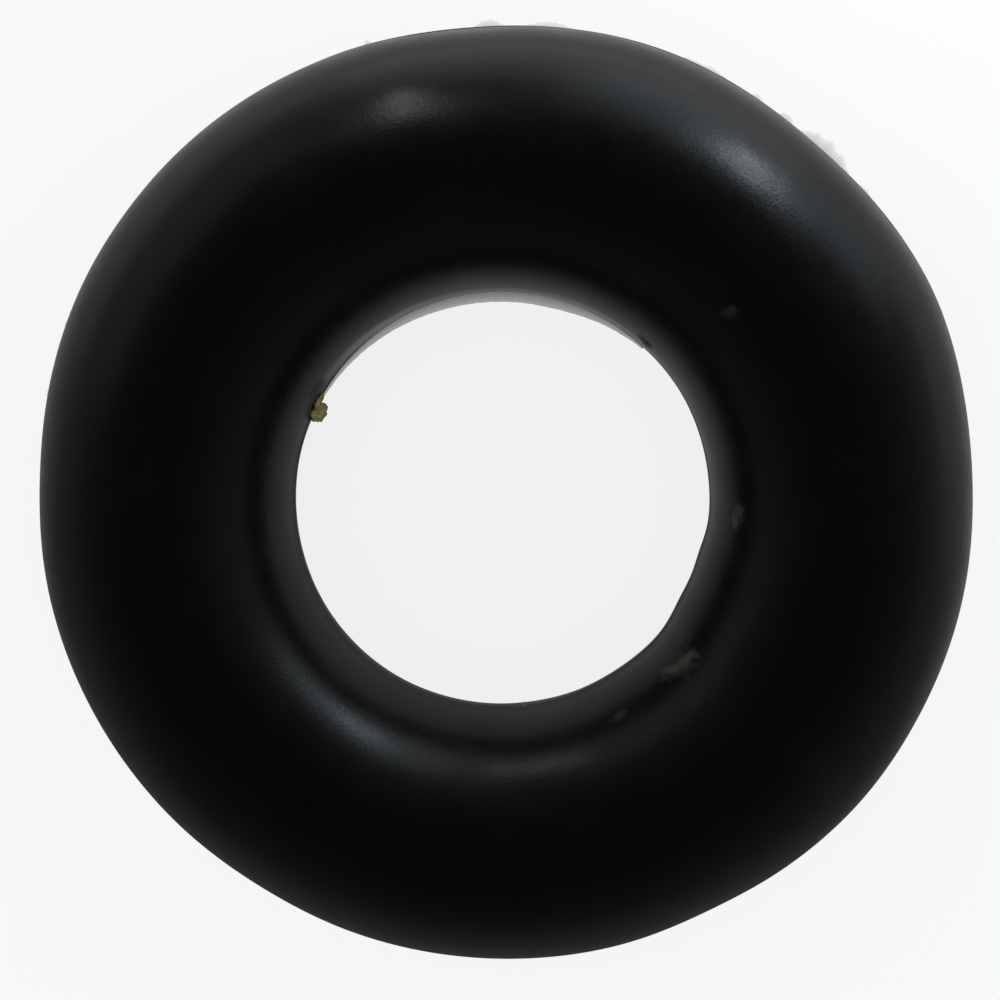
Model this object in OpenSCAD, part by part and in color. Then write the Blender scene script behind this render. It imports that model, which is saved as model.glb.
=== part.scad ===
// O-ring: a moulded elastomer seal of round section, with the trimmed flash that its
// two-part mould leaves along the parting line, round the outside and round the hole.
// Millimetres. The ring lies flat: its axis is +Z, and the origin is at the centre of
// the hole, on the plane that the ring rests on.

/* [Ring] */
// Inner diameter of the ring, across the round section
inner_d = 2.90; // [2:0.05:12]
// Diameter of the round section
section_d = 1.78; // [1:0.01:3.6]

/* [Parting line] */
// Thickness of the trimmed flash, along the ring's axis
flash_t = 0.08; // [0.04:0.01:0.1]
// Height of the trimmed flash above the round section
flash_h = 0.03; // [0.02:0.005:0.07]
// Radius of the fillet at each side of the flash's root
flash_root_r = 0.02; // [0.01:0.005:0.02]

/* [Hidden] */
$fn = 120;

section_r = section_d / 2;
// Radius of the circle that the section's centre runs along
centre_line_r = inner_d / 2 + section_r;

// Centre of a root fillet, from the section's centre: it touches the flash's flat side
// and the round section
root_y = flash_t / 2 + flash_root_r;
root_x = sqrt(pow(section_r + flash_root_r, 2) - pow(root_y, 2));
// Point where that fillet meets the round section
section_share = section_r / (section_r + flash_root_r);

// Fills the corner between the flash's upper side and the section with a concave arc
module root_fillet() {
    difference() {
        polygon([
            [0, 0],
            [root_x, flash_t / 2],
            [root_x, root_y],
            [root_x * section_share, root_y * section_share],
        ]);
        translate([root_x, root_y]) circle(r = flash_root_r);
    }
}

// The flash on the side of the section that faces away from the ring's axis
module flash_profile() {
    translate([0, -flash_t / 2]) square([section_r + flash_h, flash_t]);
    root_fillet();
    mirror([0, 1]) root_fillet();
}

// The ring's section about its own centre, with the flash outside and inside
module section_profile() {
    circle(r = section_r);
    flash_profile();
    mirror([1, 0]) flash_profile();
}

module o_ring() {
    color([0.05, 0.05, 0.055])
        translate([0, 0, section_r])
            rotate_extrude()
                translate([centre_line_r, 0]) section_profile();
}

o_ring();
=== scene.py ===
import math

import bmesh
import bpy
import numpy as np
from mathutils import Matrix, Vector, noise


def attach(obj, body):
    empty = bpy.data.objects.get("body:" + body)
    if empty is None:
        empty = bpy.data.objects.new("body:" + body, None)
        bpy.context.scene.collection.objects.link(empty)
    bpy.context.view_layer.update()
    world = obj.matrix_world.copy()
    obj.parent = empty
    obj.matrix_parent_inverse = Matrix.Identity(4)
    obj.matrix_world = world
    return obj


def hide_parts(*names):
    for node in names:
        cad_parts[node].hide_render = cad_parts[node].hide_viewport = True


# The o-ring's looks: black moulded rubber with its trimmed flash, the thin lip of flash that is
# left round one side of the hole, pale tags of flash, stains, and two crumbs of dirt.
# Metres. Azimuth is measured about the ring's axis from +X towards +Y, and the section angle
# about the section's centre, from 0 at the outer equator through 90 at the top to 180 at the
# hole. The photograph looks down the axis with +X to its right and +Y up.

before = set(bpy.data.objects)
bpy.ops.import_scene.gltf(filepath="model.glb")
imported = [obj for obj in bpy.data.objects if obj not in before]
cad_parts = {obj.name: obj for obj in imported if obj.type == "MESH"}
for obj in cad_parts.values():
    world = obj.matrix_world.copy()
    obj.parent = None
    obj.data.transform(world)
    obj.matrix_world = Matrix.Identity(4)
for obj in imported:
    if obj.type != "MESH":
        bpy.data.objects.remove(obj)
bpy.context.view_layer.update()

MM = 0.001
UM = 1e-6

# ---------------------------------------------------------------- sizes of the ring

INNER_D = 2.90 * MM
SECTION_D = 1.78 * MM
SECTION_R = SECTION_D / 2
CENTRE_LINE_R = INNER_D / 2 + SECTION_R
RING_CENTRE = Vector((0, 0, SECTION_R))

FLASH_T = 0.08 * MM
FLASH_H = 0.03 * MM
FLASH_ROOT_R = 0.02 * MM
# The flash's worn corner: its reach along both sides, and how far in its middle point lies.
FLASH_EDGE = 0.005 * MM
ROUND_SHARE = 0.3

# Points round the ring, on each half of the section's circle, and on each root fillet.
AZIMUTH_STEPS = 720
ARC_STEPS = 46
FILLET_STEPS = 4

# Shallow swells (+) and flats (-) of the outside and of the hole's wall:
# azimuth and spread in degrees, height along the section's normal in micrometres.
OUTER_SWELLS = (
    (4, 12, -18),
    (27, 10, 24),
    (51, 9, -12),
    (72, 9, 10),
    (95, 10, -20),
    (130, 20, 20),
    (152, 9, 8),
    (176, 11, -22),
    (238, 10, -14),
    (298, 9, -24),
    (322, 9, 10),
)
INNER_SWELLS = (
    (35, 20, -12),
    (95, 48, -20),
    (228, 26, -17),
    (305, 14, 10),
    (333, 9, 32),
    (346, 7, 25),
)
# Swells of the shoulders, halfway between the equator and the top or bottom, where the windows'
# light is mirrored.
OUTER_SHOULDER_SWELLS = ((102.3, 6, 9),)
INNER_SHOULDER_SWELLS = (
    (226, 13, 15),
    (280, 11, 18),
)

# Height of the trimmed flash along the ring: a mean and slow ups and downs. The hole's is
# trimmed almost flush.
OUTER_FLASH_MEAN = 14 * UM
OUTER_FLASH_WAVE = 5 * UM
OUTER_FLASH_SEED = 1.7
INNER_FLASH_MEAN = 0.6 * UM
INNER_FLASH_WAVE = 0.5 * UM
INNER_FLASH_SEED = 5.3
FLASH_WAVE_PER_TURN = 7


def wrapped(degrees):
    """An angle difference brought to -180..180."""
    return (degrees + 180) % 360 - 180


def bells(azimuth, rows):
    """The sum of smooth bells, each (azimuth, spread, height in micrometres), in metres."""
    return sum(h * UM * np.exp(-((wrapped(azimuth - at) / spread) ** 2)) for at, spread, h in rows)


def smooth_step(x, start, end):
    """0 up to start and 1 from end on, with a smooth rise between them."""
    t = np.clip((x - start) / (end - start), 0, 1)
    return t * t * (3 - 2 * t)


def wave(azimuth, seed, per_turn=FLASH_WAVE_PER_TURN):
    """A smooth wandering value of about -1 to 1 that closes on itself round the ring."""
    angles = np.radians(np.atleast_1d(azimuth))
    around = per_turn / 2
    return np.array([
        2 * noise.noise(Vector((around * math.cos(a), around * math.sin(a), seed)))
        for a in angles
    ])


# ---------------------------------------------------------------- meshes


def make_piece(name, vertices, faces, material, smooth=True):
    """An object in the scene from its vertices and faces."""
    mesh = bpy.data.meshes.new(name)
    mesh.from_pydata([tuple(v) for v in vertices], [], faces)
    mesh.validate()
    mesh.polygons.foreach_set("use_smooth", [smooth] * len(mesh.polygons))
    mesh.materials.append(material)
    mesh.update()
    piece = bpy.data.objects.new(name, mesh)
    bpy.context.scene.collection.objects.link(piece)
    return piece


def loft(rows, close_rows, close_columns):
    """Faces between neighbouring rows of equally many points, numbered row by row."""
    count, width = rows
    faces = []
    for i in range(count if close_rows else count - 1):
        j = (i + 1) % count
        for k in range(width if close_columns else width - 1):
            m = (k + 1) % width
            faces.append((i * width + k, j * width + k, j * width + m, i * width + m))
    return faces


def outer_flash_profile():
    """The outer flash from its lower root to its upper root, in the section's own plane."""
    root_y = FLASH_T / 2 + FLASH_ROOT_R
    root_x = math.sqrt((SECTION_R + FLASH_ROOT_R) ** 2 - root_y**2)
    tip = SECTION_R + FLASH_H
    touch = math.atan2(root_y, root_x)
    upper = []
    for step in range(1, FILLET_STEPS + 1):
        turn = touch + math.pi + (1.5 * math.pi - touch - math.pi) * step / FILLET_STEPS
        upper.append((
            root_x + FLASH_ROOT_R * math.cos(turn),
            root_y + FLASH_ROOT_R * math.sin(turn),
        ))
    upper.append((tip - FLASH_EDGE, FLASH_T / 2))
    upper.append((tip - ROUND_SHARE * FLASH_EDGE, FLASH_T / 2 - ROUND_SHARE * FLASH_EDGE))
    upper.append((tip, FLASH_T / 2 - FLASH_EDGE))
    lower = [(x, -y) for x, y in upper]
    return touch, lower + upper[::-1]


def section_profile():
    """The closed section about its own centre: upper arc, inner flash, lower arc, outer flash."""
    touch, outer = outer_flash_profile()
    upper_arc = np.linspace(touch, math.pi - touch, ARC_STEPS)
    points = [(SECTION_R * math.cos(a), SECTION_R * math.sin(a)) for a in upper_arc]
    points += [(-x, -y) for x, y in outer]
    points += [(-x, -y) for x, y in points[:ARC_STEPS]]
    points += outer
    return np.array(points)


def make_ring(material):
    """The ring's body: the section turned about the axis, with its swells and uneven flash."""
    profile = section_profile()
    reach = np.hypot(profile[:, 0], profile[:, 1])
    across = profile[:, 0] / reach
    shoulder = (2 * profile[:, 0] * profile[:, 1] / reach**2) ** 2
    proud = np.maximum(np.abs(profile[:, 0]) - SECTION_R, 0)
    azimuths = np.arange(AZIMUTH_STEPS) * 360 / AZIMUTH_STEPS
    outer_flash = OUTER_FLASH_MEAN + OUTER_FLASH_WAVE * wave(azimuths, OUTER_FLASH_SEED)
    inner_flash = INNER_FLASH_MEAN + INNER_FLASH_WAVE * wave(azimuths, INNER_FLASH_SEED)
    outer_swell = bells(azimuths, OUTER_SWELLS)
    inner_swell = bells(azimuths, INNER_SWELLS)
    outer_shoulder = bells(azimuths, OUTER_SHOULDER_SWELLS)
    inner_shoulder = bells(azimuths, INNER_SHOULDER_SWELLS)
    rows = []
    for i, azimuth in enumerate(np.radians(azimuths)):
        height = np.where(across > 0, outer_flash[i], inner_flash[i])
        trimmed = np.sign(across) * proud * (height / FLASH_H - 1)
        swell = np.where(across > 0, outer_swell[i], inner_swell[i]) * across**2
        swell = swell + np.where(across > 0, outer_shoulder[i], inner_shoulder[i]) * shoulder
        x = profile[:, 0] * (1 + swell / reach) + trimmed
        z = profile[:, 1] * (1 + swell / reach)
        radius = CENTRE_LINE_R + x
        rows.append(np.column_stack((
            radius * math.cos(azimuth),
            radius * math.sin(azimuth),
            z + SECTION_R,
        )))
    faces = loft((AZIMUTH_STEPS, len(profile)), True, True)
    return make_piece("ring_body", np.concatenate(rows), faces, material)


def make_wafer(name, azimuths, root_r, tip_r, root_t, tip_t, height, material):
    """A thin closed sheet of flash in the parting plane, from root_r to tip_r. Its vertices carry
    how far out they lie, from 0 at the root to 1 at the tip, as the attribute reach."""
    stations = (0, 0.25, 0.5, 0.75, 1)
    rows = []
    reach = []
    for azimuth, tip in zip(np.radians(azimuths), tip_r):
        for side, order in ((1, stations), (-1, stations[::-1])):
            for s in order:
                radius = root_r + (tip - root_r) * s
                half = (root_t + (tip_t - root_t) * s) / 2
                rows.append((
                    radius * math.cos(azimuth),
                    radius * math.sin(azimuth),
                    height + side * half,
                ))
                reach.append(s)
    width = 2 * len(stations)
    faces = loft((len(azimuths), width), False, True)
    faces.append(tuple(range(width))[::-1])
    last = (len(azimuths) - 1) * width
    faces.append(tuple(last + k for k in range(width)))
    piece = make_piece(name, rows, faces, material)
    attribute = piece.data.attributes.new("reach", "FLOAT", "POINT")
    attribute.data.foreach_set("value", reach)
    return piece


# ---------------------------------------------------------------- flash lip and tags

# The lip's azimuths in degrees: it rises out of the wall, widens to its full width, narrows again
# and ends. A share of the full width is there from the start, and a share goes in the fade.
LIP_START = 48.0
LIP_RISEN = 54.0
LIP_FULL = 78.0
LIP_FADE = 95.0
LIP_END = 166.0
LIP_STEP = 0.25
LIP_WIDTH = 50 * UM
LIP_START_SHARE = 0.10
LIP_FADE_SHARE = 0.85
LIP_RIPPLE = 1.2 * UM
LIP_RIPPLE_SEED = 9.1
LIP_RIPPLES_PER_TURN = 60
LIP_ROOT_T = 24 * UM
LIP_TIP_T = 8 * UM
LIP_ROOT_DEPTH = 45 * UM


def make_lip(material):
    """The pale lip of flash that stands into the hole."""
    azimuths = np.arange(LIP_START, LIP_END, LIP_STEP)
    widening = smooth_step(azimuths, LIP_START, LIP_FULL)
    width = LIP_WIDTH * (LIP_START_SHARE + (1 - LIP_START_SHARE) * widening)
    width = width * (1 - LIP_FADE_SHARE * smooth_step(azimuths, LIP_FADE, LIP_END))
    width = width + LIP_RIPPLE * wave(azimuths, LIP_RIPPLE_SEED, LIP_RIPPLES_PER_TURN)
    width = width * smooth_step(azimuths, LIP_START, LIP_RISEN)
    tip = INNER_D / 2 - width
    root = INNER_D / 2 + LIP_ROOT_DEPTH
    return make_wafer(
        "flash_lip", azimuths, root, tip, LIP_ROOT_T, LIP_TIP_T, SECTION_R, material
    )


# Pale tags of flash on the outer parting line: azimuth, half width in degrees, height in
# micrometres past the rubber.
OUTER_TAGS = (
    (41.0, 1.4, 34),
    (47.7, 4.2, 68),
    (53.8, 1.1, 36),
    (58.0, 1.0, 28),
    (65.5, 3.8, 42),
    (84.0, 3.2, 36),
    (91.4, 1.8, 40),
    (106.0, 0.7, 40),
    (157.6, 0.9, 46),
    (166.0, 2.4, 42),
    (186.0, 3.0, 28),
)
# The same in the hole.
INNER_TAGS = (
    (262.4, 1.5, 8),
    (275.9, 1.9, 34),
)
TAG_STEP = 0.1
TAG_ROOT_DEPTH = 30 * UM
TAG_ROOT_T = 14 * UM
TAG_TIP_T = 5 * UM
# Least reach past the wall, and the power of the tag's rounded outline.
TAG_BASE = 5 * UM
TAG_CROWN_POWER = 2.2
# Raggedness of the tip: a share of the height, a first seed and waves per turn.
TAG_RAGGED = ((0.18, 20, 150), (0.12, 40, 500))
INNER_TAG_SEED = 60


def make_tag(name, seed, row, wall_r, side, material):
    """A tag on the wall of radius wall_r, outward where side is 1 and inward where it is -1."""
    centre, half_width, height = row
    azimuths = np.arange(centre - half_width, centre + half_width + TAG_STEP / 2, TAG_STEP)
    across = (azimuths - centre) / half_width
    crown = 1 - np.abs(across) ** TAG_CROWN_POWER
    ragged = 1
    for share, first_seed, per_turn in TAG_RAGGED:
        ragged = ragged + share * wave(azimuths, first_seed + seed, per_turn)
    root = wall_r - side * TAG_ROOT_DEPTH
    tip = wall_r + side * (TAG_BASE + height * UM * crown * ragged)
    return make_wafer(name, azimuths, root, tip, TAG_ROOT_T, TAG_TIP_T, SECTION_R, material)


def make_tags(material):
    """All the tags, outside and in the hole."""
    outer_r = CENTRE_LINE_R + SECTION_R
    tags = []
    for i, row in enumerate(OUTER_TAGS, 1):
        tags.append(make_tag(f"flash_tag_{i}", i, row, outer_r, 1, material))
    for i, row in enumerate(INNER_TAGS, 1):
        seed = INNER_TAG_SEED + i
        tags.append(make_tag(f"inner_tag_{i}", seed, row, INNER_D / 2, -1, material))
    return tags


# ---------------------------------------------------------------- dirt

BLOB_DETAIL = 4
# Size of the lumps and of the small bumps on a crumb, in waves per radius.
LUMP_SCALE = 1.6
BUMP_SCALE = 4.5
CRUMB_SIZE = (0.14 * MM, 0.12 * MM, 0.13 * MM)
FLAKE_SIZE = (0.12 * MM, 0.08 * MM, 0.04 * MM)


def on_ring(azimuth, angle, height):
    """The point at that azimuth and section angle in radians, height above the rubber."""
    radius = CENTRE_LINE_R + (SECTION_R + height) * math.cos(angle)
    return (
        radius * math.cos(azimuth),
        radius * math.sin(azimuth),
        SECTION_R + (SECTION_R + height) * math.sin(angle),
    )


def make_crumb(name, azimuth, angle, size, spin, seed, material, sink=0.3, rough=0.35):
    """A lumpy crumb bent over the section. size is its length, width and thickness, spin turns
    the length away from the ring's direction, in degrees, and sink is the buried share."""
    length, width, thickness = size
    ball = bmesh.new()
    bmesh.ops.create_icosphere(ball, subdivisions=BLOB_DETAIL, radius=1)
    turn = math.radians(spin)
    local_r = CENTRE_LINE_R + SECTION_R * math.cos(math.radians(angle))
    offset = Vector((seed * 3.7, seed * 1.3, seed * 7.1))
    points = []
    for vertex in ball.verts:
        direction = vertex.co.normalized()
        lump = 1 + rough * noise.noise(direction * LUMP_SCALE + offset)
        lump += 0.5 * rough * noise.noise(direction * BUMP_SCALE + offset)
        x = direction.x * lump * length / 2
        y = direction.y * lump * width / 2
        z = (direction.z * lump + 1 - 2 * sink) * thickness / 2
        along = x * math.cos(turn) - y * math.sin(turn)
        up = x * math.sin(turn) + y * math.cos(turn)
        points.append(on_ring(
            math.radians(azimuth) + along / local_r,
            math.radians(angle) + up / SECTION_R,
            z,
        ))
    faces = [tuple(v.index for v in face.verts) for face in ball.faces]
    ball.free()
    return make_piece(name, points, faces, material)


# ---------------------------------------------------------------- materials


def new_material(name):
    material = bpy.data.materials.new(name)
    material.use_nodes = True
    tree = material.node_tree
    return material, tree, tree.nodes["Principled BSDF"]


def noise_node(tree, scale, detail, rough=0.5):
    """Noise over the object's own coordinates, in cells per metre."""
    coordinates = tree.nodes.new("ShaderNodeTexCoord")
    texture = tree.nodes.new("ShaderNodeTexNoise")
    texture.inputs["Scale"].default_value = scale
    texture.inputs["Detail"].default_value = detail
    texture.inputs["Roughness"].default_value = rough
    tree.links.new(coordinates.outputs["Object"], texture.inputs["Vector"])
    return texture


def map_range(tree, source, low, high, to_low, to_high):
    node = tree.nodes.new("ShaderNodeMapRange")
    node.inputs["From Min"].default_value = low
    node.inputs["From Max"].default_value = high
    node.inputs["To Min"].default_value = to_low
    node.inputs["To Max"].default_value = to_high
    tree.links.new(source, node.inputs["Value"])
    return node.outputs["Result"]


def math_node(tree, operation, first, second):
    node = tree.nodes.new("ShaderNodeMath")
    node.operation = operation
    for socket, value in zip(node.inputs, (first, second)):
        if isinstance(value, (int, float)):
            socket.default_value = value
        else:
            tree.links.new(value, socket)
    return node.outputs["Value"]


def colour_ramp(tree, source, stops):
    node = tree.nodes.new("ShaderNodeValToRGB")
    ramp = node.color_ramp
    while len(ramp.elements) < len(stops):
        ramp.elements.new(0.5)
    for element, (position, colour) in zip(ramp.elements, stops):
        element.position = position
        element.color = (*colour, 1)
    tree.links.new(source, node.inputs["Fac"])
    return node.outputs["Color"]


def bump(tree, source, distance, strength, normal=None):
    node = tree.nodes.new("ShaderNodeBump")
    node.inputs["Distance"].default_value = distance
    node.inputs["Strength"].default_value = strength
    tree.links.new(source, node.inputs["Height"])
    if normal is not None:
        tree.links.new(normal, node.inputs["Normal"])
    return node.outputs["Normal"]


# Stains on the rubber, and one dark rough fleck: azimuth and section angle in degrees, length and
# width in millimetres, turn of the length away from the ring's direction in degrees, how much of
# it covers the rubber (0 to 1), and its colour.
OLIVE = (0.037, 0.038, 0.022)
TAN = (0.059, 0.060, 0.035)
BLUE_GREY = (0.017, 0.019, 0.026)
DARK_FLECK_TONE = (0.004, 0.0035, 0.004)
STAINS = (
    (0.4, 148.5, 0.24, 0.16, 10, 1.0, OLIVE),
    (358.4, 149.6, 0.13, 0.10, 30, 0.95, TAN),
    (320.0, 148.2, 0.46, 0.24, -36, 0.5, OLIVE),
    (317.8, 149.8, 0.20, 0.09, -40, 0.85, TAN),
    (322.6, 145.8, 0.19, 0.10, -34, 0.85, TAN),
    (301.0, 146.3, 0.14, 0.10, 20, 0.4, OLIVE),
    (41.8, 113.2, 0.11, 0.13, 0, 0.6, BLUE_GREY),
    # A dark, rough fleck on the hole's wall where the lip starts; it dulls the wall's reflection
    # there.
    (49.0, 165.0, 0.13, 0.24, 30, 0.65, DARK_FLECK_TONE),
    (147.0, 166.0, 0.20, 0.22, 0, 0.5, OLIVE),
)
# A stain fades between these shares of its half length and half width, and its noise shifts that
# border by up to STAIN_RAGGED.
STAIN_FULL = 0.35
STAIN_END = 1.0
STAIN_RAGGED = 0.36
STAIN_NOISE_SCALE = 17000
STAIN_ROUGHNESS = 0.8


def stain_cover(tree, coordinates, mottle, azimuth, angle, length, width, spin, amount):
    """How much of a point a stain covers: a ragged spot at a place on the section."""
    a = math.radians(azimuth)
    p = math.radians(angle)
    turn = math.radians(spin)
    around = Vector((-math.sin(a), math.cos(a), 0))
    upward = Vector((-math.sin(p) * math.cos(a), -math.sin(p) * math.sin(a), math.cos(p)))
    outward = around.cross(upward)
    long_axis = around * math.cos(turn) + upward * math.sin(turn)
    short_axis = outward.cross(long_axis)
    spot = tree.nodes.new("ShaderNodeMapping")
    spot.vector_type = "TEXTURE"
    spot.inputs["Location"].default_value = on_ring(a, p, 0)
    axes = Matrix((long_axis, short_axis, outward)).transposed()
    spot.inputs["Rotation"].default_value = axes.to_euler()
    spot.inputs["Scale"].default_value = Vector((length, width, width)) / 2 * MM
    tree.links.new(coordinates, spot.inputs["Vector"])
    away = tree.nodes.new("ShaderNodeVectorMath")
    away.operation = "LENGTH"
    tree.links.new(spot.outputs["Vector"], away.inputs[0])
    ragged = math_node(tree, "ADD", away.outputs["Value"], mottle)
    return map_range(tree, ragged, STAIN_END, STAIN_FULL, 0, amount)


# First input, second input and output of the Mix node for colours and for numbers.
MIX_SOCKETS = {"RGBA": (6, 7, 2), "FLOAT": (2, 3, 0)}


def mix(tree, kind, factor, first, second):
    """A mix of two colours ("RGBA") or of two numbers ("FLOAT")."""
    first_input, second_input, output = MIX_SOCKETS[kind]
    node = tree.nodes.new("ShaderNodeMix")
    node.data_type = kind
    tree.links.new(factor, node.inputs[0])
    for socket, value in ((node.inputs[first_input], first), (node.inputs[second_input], second)):
        if isinstance(value, (int, float, tuple)):
            socket.default_value = value
        else:
            tree.links.new(value, socket)
    return node.outputs[output]


# Painted light on the hole's wall at the lip's root: a pale colour that stands in for the wall's
# reflection of the bright lip. How far out it is full and where it ends, its middle azimuth, and
# where it starts and is full, in degrees away from that.
PAINTED_LIP_GLOW = (0.48, 0.48, 0.49)
PAINTED_LIP_GLOW_FULL_R = INNER_D / 2 + 20 * UM
PAINTED_LIP_GLOW_END_R = INNER_D / 2 + 46 * UM
PAINTED_LIP_GLOW_AZIMUTH = 94
PAINTED_LIP_GLOW_START = 51
PAINTED_LIP_GLOW_FULL = 24

# The trimmed face of the flash: torn rubber, matt and a little greyer than the moulded skin.
TRIMMED_HALF_T = 0.041 * MM
TRIMMED_FADE = 0.008 * MM
TRIMMED_TONE = (0.065, 0.065, 0.066)
TRIMMED_ROUGHNESS = 0.7


def trimmed_cover(tree, coordinates):
    """1 on the trimmed face of the flash, beside the parting plane, and 0 elsewhere."""
    split = tree.nodes.new("ShaderNodeSeparateXYZ")
    tree.links.new(coordinates, split.inputs[0])
    above = math_node(tree, "SUBTRACT", split.outputs["Z"], SECTION_R)
    away = math_node(tree, "ABSOLUTE", above, 0.0)
    return map_range(tree, away, TRIMMED_HALF_T, TRIMMED_HALF_T + TRIMMED_FADE, 1, 0)


def painted_lip_glow_cover(tree, coordinates):
    """How much of a point the painted glow beside the lip covers."""
    middle = math.radians(PAINTED_LIP_GLOW_AZIMUTH)
    flat = tree.nodes.new("ShaderNodeVectorMath")
    flat.operation = "MULTIPLY"
    flat.inputs[1].default_value = (1, 1, 0)
    tree.links.new(coordinates, flat.inputs[0])
    radius = tree.nodes.new("ShaderNodeVectorMath")
    radius.operation = "LENGTH"
    tree.links.new(flat.outputs["Vector"], radius.inputs[0])
    towards = tree.nodes.new("ShaderNodeVectorMath")
    towards.operation = "DOT_PRODUCT"
    towards.inputs[1].default_value = (math.cos(middle), math.sin(middle), 0)
    tree.links.new(coordinates, towards.inputs[0])
    turned = math_node(tree, "DIVIDE", towards.outputs["Value"], radius.outputs["Value"])
    start = math.cos(math.radians(PAINTED_LIP_GLOW_START))
    full = math.cos(math.radians(PAINTED_LIP_GLOW_FULL))
    along = map_range(tree, turned, start, full, 0, 1)
    across = map_range(tree, radius.outputs["Value"], PAINTED_LIP_GLOW_FULL_R, PAINTED_LIP_GLOW_END_R, 1, 0)
    return math_node(tree, "MULTIPLY", along, across)


# The rubber's skin: where the noise turns from bare rubber to bloom, and the colours there, the
# range of roughness, and the scale in cells per metre and the height of its ripple and its grain.
BLOOM_COLOURS = (
    (0.35, (0.0026, 0.0027, 0.0029)),
    (0.62, (0.0034, 0.0035, 0.0037)),
    (0.80, (0.0056, 0.0057, 0.0058)),
)
BLOOM_SCALE = 1600
SATIN_SCALE = 5200
GLOSSIEST = 0.27
ROUGHEST = 0.34
RIPPLE_SCALE = 2600
RIPPLE_HEIGHT = 6 * UM
RIPPLE_STRENGTH = 0.35
GRAIN_SCALE = 36000
GRAIN_HEIGHT = 1.8 * UM
GRAIN_STRENGTH = 0.6
# Most of a noise texture's values lie between these.
NOISE_LOW = 0.3
NOISE_HIGH = 0.7


def rubber_material():
    """Black rubber with a satin skin: a fine grain, faint flow streaks, a trace of bloom, the
    stains, and a painted glow beside the lip that stands in for a reflection."""
    material, tree, shader = new_material("black_rubber")
    shader.inputs["Specular IOR Level"].default_value = 0.5
    bloom = noise_node(tree, BLOOM_SCALE, 5, 0.6)
    colour = colour_ramp(tree, bloom.outputs["Fac"], BLOOM_COLOURS)
    satin = noise_node(tree, SATIN_SCALE, 4, 0.55).outputs["Fac"]
    roughness = map_range(tree, satin, NOISE_LOW, NOISE_HIGH, GLOSSIEST, ROUGHEST)
    coordinates = tree.nodes.new("ShaderNodeTexCoord").outputs["Object"]
    mottle = noise_node(tree, STAIN_NOISE_SCALE, 4, 0.6).outputs["Fac"]
    mottle = map_range(tree, mottle, NOISE_LOW, NOISE_HIGH, -STAIN_RAGGED, STAIN_RAGGED)
    for azimuth, angle, length, width, spin, amount, tone in STAINS:
        cover = stain_cover(tree, coordinates, mottle, azimuth, angle, length, width, spin, amount)
        colour = mix(tree, "RGBA", cover, colour, (*tone, 1))
        roughness = mix(tree, "FLOAT", cover, roughness, STAIN_ROUGHNESS)
    trimmed = trimmed_cover(tree, coordinates)
    colour = mix(tree, "RGBA", trimmed, colour, (*TRIMMED_TONE, 1))
    roughness = mix(tree, "FLOAT", trimmed, roughness, TRIMMED_ROUGHNESS)
    # Painted light: the pale patch beside the lip stands in for the wall's reflection of the
    # bright lip.
    colour = mix(tree, "RGBA", painted_lip_glow_cover(tree, coordinates), colour, (*PAINTED_LIP_GLOW, 1))
    tree.links.new(colour, shader.inputs["Base Color"])
    tree.links.new(roughness, shader.inputs["Roughness"])
    grain = noise_node(tree, GRAIN_SCALE, 2, 0.6)
    ripple = noise_node(tree, RIPPLE_SCALE, 2, 0.5)
    normal = bump(tree, ripple.outputs["Fac"], RIPPLE_HEIGHT, RIPPLE_STRENGTH)
    normal = bump(tree, grain.outputs["Fac"], GRAIN_HEIGHT, GRAIN_STRENGTH, normal)
    tree.links.new(normal, shader.inputs["Normal"])
    return material


def film_material(name, tone, root_alpha, tip_alpha):
    """Flash thin enough to let light through. Its alpha runs from the root to the tip."""
    material, tree, shader = new_material(name)
    shader.inputs["Roughness"].default_value = 0.6
    shader.inputs["Specular IOR Level"].default_value = 0.2
    speckle = noise_node(tree, 30000, 3, 0.6)
    colour = colour_ramp(tree, speckle.outputs["Fac"], (
        (0.3, tuple(0.7 * c for c in tone)),
        (0.7, tone),
    ))
    tree.links.new(colour, shader.inputs["Base Color"])
    reach = tree.nodes.new("ShaderNodeAttribute")
    reach.attribute_name = "reach"
    alpha = map_range(tree, reach.outputs["Fac"], 0, 1, root_alpha, tip_alpha)
    tree.links.new(alpha, shader.inputs["Alpha"])
    return material


def dirt_material(name, dark, light):
    """Dry crumbly dirt."""
    material, tree, shader = new_material(name)
    shader.inputs["Roughness"].default_value = 0.85
    shader.inputs["Specular IOR Level"].default_value = 0.25
    mottle = noise_node(tree, 26000, 5, 0.65)
    colour = colour_ramp(tree, mottle.outputs["Fac"], ((0.34, dark), (0.66, light)))
    tree.links.new(colour, shader.inputs["Base Color"])
    grit = noise_node(tree, 60000, 4, 0.6)
    tree.links.new(bump(tree, grit.outputs["Fac"], 4 * UM, 0.8), shader.inputs["Normal"])
    return material


# ---------------------------------------------------------------- stage

FLOOR_SIZE = 0.4
FLOOR_COLOUR = (0.20, 0.202, 0.20)
FLOOR_GLOW = 0.83
FLOOR_GLOW_COLOUR = (0.99, 1.0, 0.99)
# What reflections see of the floor's glow, as shares of it: painted light and shade. In the hole
# is a painted pool of light that fades out to painted shade under the ring and is brightest
# towards POOL_AZIMUTH.
POOL_GLOSSY_SHARE = 0.385
POOL_DIM_SHARE = 0.16
POOL_AZIMUTH = 60
POOL_DIM_AT = -1.3 * MM
POOL_BRIGHT_AT = 1.3 * MM
POOL_R = 1.6 * MM
POOL_FADE_R = 3.0 * MM
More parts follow.
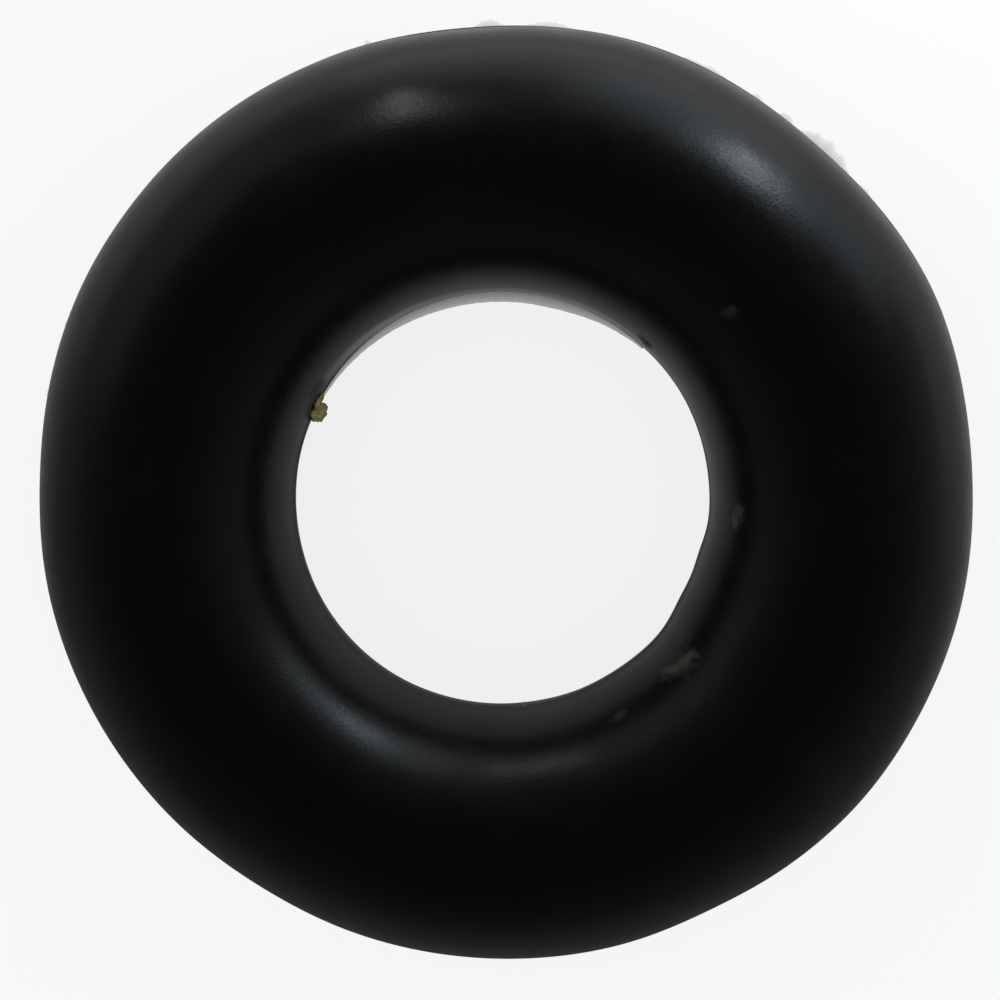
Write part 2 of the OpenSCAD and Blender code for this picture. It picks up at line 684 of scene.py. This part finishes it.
# Beside the ring what reflections see of the glow is brightest towards BRIGHT_SIDE_AZIMUTH, and
# dims with distance; under the ring they see painted shade.
BRIGHT_SIDE_AZIMUTH = 80
BRIGHT_SIDE_START = -3 * MM
BRIGHT_SIDE_FULL = 8 * MM
BESIDE_RING_SHARE = 0.92
UNDER_RING_START_R = CENTRE_LINE_R - 0.1 * MM
UNDER_RING_END_R = CENTRE_LINE_R + 0.1 * MM
BESIDE_RING_R = 3.7 * MM
FAR_FLOOR_SHARE = 0.48
FAR_FLOOR_R = 5.2 * MM
BACKDROP = (0.93, 0.935, 0.93)


def bright_side_dot(tree, coordinates, azimuth=BRIGHT_SIDE_AZIMUTH):
    """How far a point or a direction lies towards the bright side."""
    towards = tree.nodes.new("ShaderNodeVectorMath")
    towards.operation = "DOT_PRODUCT"
    bright_side = math.radians(azimuth)
    towards.inputs[1].default_value = (math.cos(bright_side), math.sin(bright_side), 0)
    tree.links.new(coordinates, towards.inputs[0])
    return towards.outputs["Value"]


def seen_glow(tree, glossy_share):
    """1 for camera and transmission rays, glossy_share for glossy rays, and 0 for the rest."""
    path = tree.nodes.new("ShaderNodeLightPath")
    glossy = math_node(tree, "MULTIPLY", path.outputs["Is Glossy Ray"], glossy_share)
    seen = math_node(tree, "MAXIMUM", path.outputs["Is Camera Ray"], glossy)
    return math_node(tree, "MAXIMUM", seen, path.outputs["Is Transmission Ray"])


def make_floor():
    """A pale sheet that glows evenly for the camera, as if lit softly from below. What reflections
    see of the glow is painted light and shade: most of it in a pool under the ring's hole and on
    the bright side, none under the ring."""
    half = FLOOR_SIZE / 2
    material = bpy.data.materials.new("floor")
    material.use_nodes = True
    tree = material.node_tree
    tree.nodes.clear()
    diffuse = tree.nodes.new("ShaderNodeBsdfDiffuse")
    diffuse.inputs["Color"].default_value = (*FLOOR_COLOUR, 1)
    coordinates = tree.nodes.new("ShaderNodeTexCoord")
    distance = tree.nodes.new("ShaderNodeVectorMath")
    distance.operation = "LENGTH"
    tree.links.new(coordinates.outputs["Object"], distance.inputs[0])
    in_pool = bright_side_dot(tree, coordinates.outputs["Object"], POOL_AZIMUTH)
    pool = math_node(
        tree,
        "MULTIPLY",
        map_range(tree, distance.outputs["Value"], POOL_R, POOL_FADE_R, 1, 0),
        map_range(tree, in_pool, POOL_DIM_AT, POOL_BRIGHT_AT, POOL_DIM_SHARE, POOL_GLOSSY_SHARE),
    )
    towards = bright_side_dot(tree, coordinates.outputs["Object"])
    outside = map_range(
        tree, distance.outputs["Value"], UNDER_RING_START_R, UNDER_RING_END_R, 0, 1
    )
    side = math_node(
        tree,
        "MULTIPLY",
        map_range(tree, towards, BRIGHT_SIDE_START, BRIGHT_SIDE_FULL, 0, 1),
        outside,
    )
    beside = map_range(
        tree,
        distance.outputs["Value"],
        BESIDE_RING_R,
        FAR_FLOOR_R,
        BESIDE_RING_SHARE,
        FAR_FLOOR_SHARE,
    )
    # Painted light and shade for reflections: the pool, the bright side, and dark under the ring.
    share = math_node(tree, "MAXIMUM", pool, math_node(tree, "MULTIPLY", side, beside))
    glow = tree.nodes.new("ShaderNodeEmission")
    glow.inputs["Color"].default_value = (*FLOOR_GLOW_COLOUR, 1)
    strength = math_node(tree, "MULTIPLY", seen_glow(tree, share), FLOOR_GLOW)
    tree.links.new(strength, glow.inputs["Strength"])
    both = tree.nodes.new("ShaderNodeAddShader")
    tree.links.new(diffuse.outputs["BSDF"], both.inputs[0])
    tree.links.new(glow.outputs["Emission"], both.inputs[1])
    output = tree.nodes.new("ShaderNodeOutputMaterial")
    tree.links.new(both.outputs["Shader"], output.inputs["Surface"])
    corners = ((-half, -half, 0), (half, -half, 0), (half, half, 0), (-half, half, 0))
    floor = make_piece("floor", corners, [(0, 1, 2, 3)], material, smooth=False)


# The world's plain light for colours, and what reflections see of the room on its two sides.
PLAIN_LIGHT = 0.6
DIM_SIDE_LIGHT = 0.095
BRIGHT_SIDE_LIGHT = 0.30
DIM_SIDE_DOT = -0.8
BRIGHT_SIDE_DOT = 1.0
ROOM_COLOUR = (0.93, 0.98, 1.0)


def make_world():
    """A pale backdrop for the camera, plain even light for the colours, and for reflections a dim
    room: brighter low down and on one side, dark overhead."""
    world = bpy.data.worlds.new("soft_room")
    bpy.context.scene.world = world
    world.use_nodes = True
    tree = world.node_tree
    tree.nodes.clear()
    coordinates = tree.nodes.new("ShaderNodeTexCoord")
    split = tree.nodes.new("ShaderNodeSeparateXYZ")
    tree.links.new(coordinates.outputs["Generated"], split.inputs[0])
    towards = bright_side_dot(tree, coordinates.outputs["Generated"])
    side = map_range(
        tree, towards, DIM_SIDE_DOT, BRIGHT_SIDE_DOT, DIM_SIDE_LIGHT, BRIGHT_SIDE_LIGHT
    )
    height = colour_ramp(tree, split.outputs["Z"], (
        (0.0, (1, 1, 1)),
        (0.26, (0.75, 0.75, 0.75)),
        (0.5, (0.42, 0.42, 0.42)),
        (0.67, (0.22, 0.22, 0.22)),
        (0.87, (0.08, 0.08, 0.08)),
        (0.96, (0.02, 0.02, 0.02)),
    ))
    path = tree.nodes.new("ShaderNodeLightPath")
    plain = math_node(tree, "MULTIPLY", path.outputs["Is Diffuse Ray"], PLAIN_LIGHT)
    room_level = math_node(tree, "MAXIMUM", math_node(tree, "MULTIPLY", side, height), plain)
    room = tree.nodes.new("ShaderNodeBackground")
    room.inputs["Color"].default_value = (*ROOM_COLOUR, 1)
    tree.links.new(room_level, room.inputs["Strength"])
    backdrop = tree.nodes.new("ShaderNodeBackground")
    backdrop.inputs["Color"].default_value = (*BACKDROP, 1)
    either = tree.nodes.new("ShaderNodeMixShader")
    tree.links.new(path.outputs["Is Camera Ray"], either.inputs[0])
    tree.links.new(room.outputs["Background"], either.inputs[1])
    tree.links.new(backdrop.outputs["Background"], either.inputs[2])
    output = tree.nodes.new("ShaderNodeOutputWorld")
    tree.links.new(either.outputs["Shader"], output.inputs["Surface"])


def make_softbox(name, azimuth, out, up, size, brightness, colour):
    """A flat soft light that faces the ring's centre: out from the ring's axis, up from the
    ring's middle plane, and size in width and height, all in millimetres. brightness is its
    radiance, where 1 is white."""
    a = math.radians(azimuth)
    width, height = size
    offset = Vector((out * math.cos(a), out * math.sin(a), up)) * MM
    light = bpy.data.lights.new(name, "AREA")
    light.shape = "RECTANGLE"
    light.size = width * MM
    light.size_y = height * MM
    light.energy = brightness * math.pi * light.size * light.size_y
    light.color = colour
    lamp = bpy.data.objects.new(name, light)
    lamp.location = RING_CENTRE + offset
    lamp.rotation_mode = "QUATERNION"
    lamp.rotation_quaternion = (-offset).to_track_quat("-Z", "Y")
    lamp.visible_camera = False
    bpy.context.scene.collection.objects.link(lamp)


# The two windows make the bright spots on the ring and in its hole, and the others make the broad
# faint glows. Each row gives what make_softbox takes, in that order.
SOFTBOXES = (
    ("window_right", 53.0, 6.4, 2.80, (0.28, 1.65), 20.0, (0.86, 0.96, 1.0)),
    ("window_left", 104.5, 5.0, 2.72, (0.18, 1.4), 10.0, (0.92, 0.98, 1.0)),
    ("window_glow", 55, 9.5, 2.9, (9.5, 4.6), 0.56, (0.78, 0.90, 1.0)),
    ("window_veil", 66, 8.0, 5.0, (5.5, 2.6), 0.26, (0.85, 0.95, 1.0)),
    ("low_glow", 80, 5.6, 0.6, (7.0, 2.4), 0.30, (0.95, 0.98, 1.0)),
    ("left_glow", 146, 9.0, 5.1, (8.0, 4.0), 0.13, (0.95, 0.98, 1.0)),
)

# The camera's distance from the ring's centre, its lean off the axis in degrees, the point it
# looks at, from the ring's centre, and its focal length and sensor width in millimetres.
CAMERA_DISTANCE = 10.53 * MM
CAMERA_LEAN_X = 2.88
CAMERA_LEAN_Y = 7.13
CAMERA_AIM = Vector((-0.004, 0.031, 0)) * MM
CAMERA_LENS = 54.4
CAMERA_SENSOR = 36


def make_camera():
    """The camera, with +Y up in the picture."""
    x = math.sin(math.radians(CAMERA_LEAN_X))
    y = math.sin(math.radians(CAMERA_LEAN_Y))
    direction = Vector((x, y, math.sqrt(1 - x * x - y * y)))
    location = RING_CENTRE + direction * CAMERA_DISTANCE
    back = (location - RING_CENTRE - CAMERA_AIM).normalized()
    right = Vector((0, 1, 0)).cross(back).normalized()
    up = back.cross(right)
    lens = bpy.data.cameras.new("camera")
    lens.lens = CAMERA_LENS
    lens.sensor_width = CAMERA_SENSOR
    lens.clip_start = 1 * MM
    lens.clip_end = 1
    camera = bpy.data.objects.new("camera", lens)
    rotation = Matrix((right, up, back)).transposed().to_4x4()
    camera.matrix_world = Matrix.Translation(location) @ rotation
    bpy.context.scene.collection.objects.link(camera)
    bpy.context.scene.camera = camera


# ---------------------------------------------------------------- the scene

bpy.context.scene.view_settings.view_transform = "Standard"
make_camera()
make_floor()
make_world()
for softbox in SOFTBOXES:
    make_softbox(*softbox)

rubber = rubber_material()
lip_film = film_material("flash_film", (0.12, 0.12, 0.125), 0.69, 0.37)
tag_film = film_material("pale_flash_film", (0.36, 0.34, 0.22), 0.36, 0.08)
amber_dirt = dirt_material("amber_dirt", (0.20, 0.155, 0.06), (0.46, 0.38, 0.17))

ring = make_ring(rubber)
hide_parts("o_ring")
pieces = [ring, make_lip(lip_film)]
pieces += make_tags(tag_film)
pieces += [
    make_crumb("amber_crumb", 153.2, 180, CRUMB_SIZE, 0, 1, amber_dirt, sink=0.36),
    make_crumb("amber_flake", 150.4, 176, FLAKE_SIZE, 0, 9, amber_dirt),
]
for piece in pieces:
    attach(piece, "root")

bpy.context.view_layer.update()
